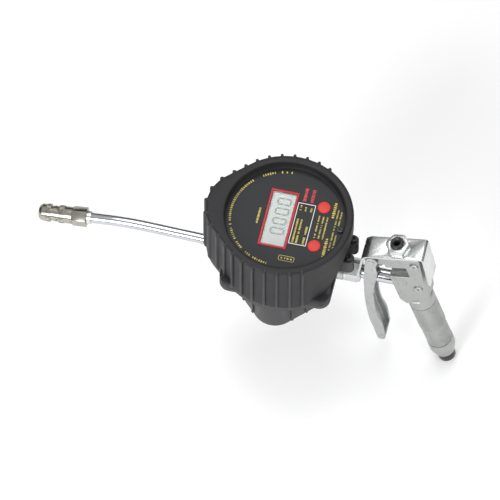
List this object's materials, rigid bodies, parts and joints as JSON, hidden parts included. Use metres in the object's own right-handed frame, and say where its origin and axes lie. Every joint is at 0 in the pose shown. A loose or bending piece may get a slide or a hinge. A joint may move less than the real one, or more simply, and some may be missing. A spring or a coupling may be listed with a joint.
{
  "type": "metered grease control gun",
  "caption": "Hand-held metered grease gun: round digital oval-gear meter in a ribbed guard, bent outlet tube with jaw coupler, and a pistol valve with squeeze lever.",
  "frame": {"origin": "centre of the meter's flat back face", "axes": "+X along the flow line towards the pistol, +Z out of the display face, +Y across the meter"},
  "size_m": [0.3793, 0.1254, 0.1914],
  "materials": {
    "rubber_black": "moulded rubber, satin with fine grain",
    "shell_black": "moulded, fine texture",
    "face_black": "screen-printed satin film",
    "bezel_red": "satin",
    "lcd_glass": "clear",
    "lcd_grey": "reflective display film",
    "board_green": "solder mask",
    "battery_grey": "shrink sleeve",
    "switch_black": "moulded",
    "button_red": "moulded silicone",
    "screw_black": "black oxide",
    "screw_bright": "zinc plated",
    "meter_aluminium": "machined casting",
    "gear_steel": "machined",
    "copper_washer": "soft copper",
    "tube_chrome": "bright plated",
    "fitting_zinc": "bright zinc plated",
    "nickel": "nickel plated and knurled",
    "seal_black": "moulded",
    "bracket_zinc": "bright zinc plated sheet",
    "cast_grey": "die cast, tumbled",
    "lever_grey": "die cast, tumbled",
    "pin_steel": "ground",
    "plug_black": "moulded",
    "swivel_black": "black coated"
  },
  "bodies": {
    "gun": {"rubber_guard": "rubber_black", "lower_shell": "shell_black", "display_housing": "shell_black", "meter_body": "meter_aluminium", "chamber_cover": "meter_aluminium", "cover_screws": "screw_black", "gear_pins": "pin_steel", "ear_screws": "screw_black", "lug_screws": "screw_black", "face_plate": "face_black", "lcd_bezel": "bezel_red", "lcd_window": "lcd_glass", "lcd_panel": "lcd_grey", "circuit_board": "board_green", "battery_cells": "battery_grey", "key_switches": "switch_black", "face_screw": "screw_black", "inlet_washer": "copper_washer", "outlet_tube": "tube_chrome", "outlet_gland": "fitting_zinc", "coupler_hex": "nickel", "coupler_jaws": "nickel", "coupler_seal": "seal_black", "inlet_fitting": "fitting_zinc", "flow_tube": "tube_chrome", "support_bracket": "bracket_zinc", "bracket_nut": "fitting_zinc", "nut_plug": "plug_black", "valve_body": "cast_grey", "valve_spring": "pin_steel", "body_screws": "screw_bright", "grip_barrel": "cast_grey", "grip_collar": "cast_grey", "swivel_seal": "seal_black"},
    "lever": {"trigger_lever": "lever_grey", "lever_pin": "pin_steel", "actuator_pin": "pin_steel"},
    "stem": {"valve_stem": "pin_steel"},
    "reset_key": {"button_reset": "button_red"},
    "function_key": {"button_function": "button_red"},
    "gear_a": {"oval_gear_a": "gear_steel"},
    "gear_b": {"oval_gear_b": "gear_steel"},
    "swivel": {"inlet_swivel": "swivel_black"},
    "sleeve": {"coupler_sleeve": "nickel"}
  },
  "joints": [
    {"name": "lever_squeeze", "type": "hinge", "parent": "gun", "child": "lever", "pos_m": [0.07953, 0, 0.06101], "axis": [0, -1, 0], "range_deg": [0, 14], "stiffness_Nm_per_rad": 0.8, "springref_deg": -17.19},
    {"name": "stem_slide", "type": "slide", "parent": "gun", "child": "stem", "axis": [0.9659, 0, 0.2588], "range_m": [0, 0.0033], "deforming": ["valve_spring"]},
    {"name": "reset_press", "type": "slide", "parent": "gun", "child": "reset_key", "axis": [0, 0, -1], "range_m": [0, 0.0012], "stiffness_N_per_m": 600, "springref_m": -0.0005},
    {"name": "function_press", "type": "slide", "parent": "gun", "child": "function_key", "axis": [0, 0, -1], "range_m": [0, 0.0012], "stiffness_N_per_m": 600, "springref_m": -0.0005},
    {"name": "gear_a_spin", "type": "hinge", "parent": "gun", "child": "gear_a", "pos_m": [0, 0.0125, 0.0244], "axis": [0, 0, 1], "continuous": true},
    {"name": "gear_b_spin", "type": "hinge", "parent": "gun", "child": "gear_b", "pos_m": [0, -0.0125, 0.0244], "axis": [0, 0, 1], "continuous": true},
    {"name": "swivel_turn", "type": "hinge", "parent": "gun", "child": "swivel", "pos_m": [0.14495, 0, -0.07882], "axis": [0.2588, 0, -0.9659], "continuous": true},
    {"name": "sleeve_turn", "type": "hinge", "parent": "gun", "child": "sleeve", "pos_m": [-0.20704, 0, 0.01924], "axis": [-0.989, 0, -0.1478], "range_deg": [-180, 180]}
  ],
  "couplings": [
    {"joint": "stem_slide", "follows": "lever_squeeze", "m_per_rad": 0.013},
    {"joint": "gear_b_spin", "follows": "gear_a_spin", "ratio": -1}
  ]
}
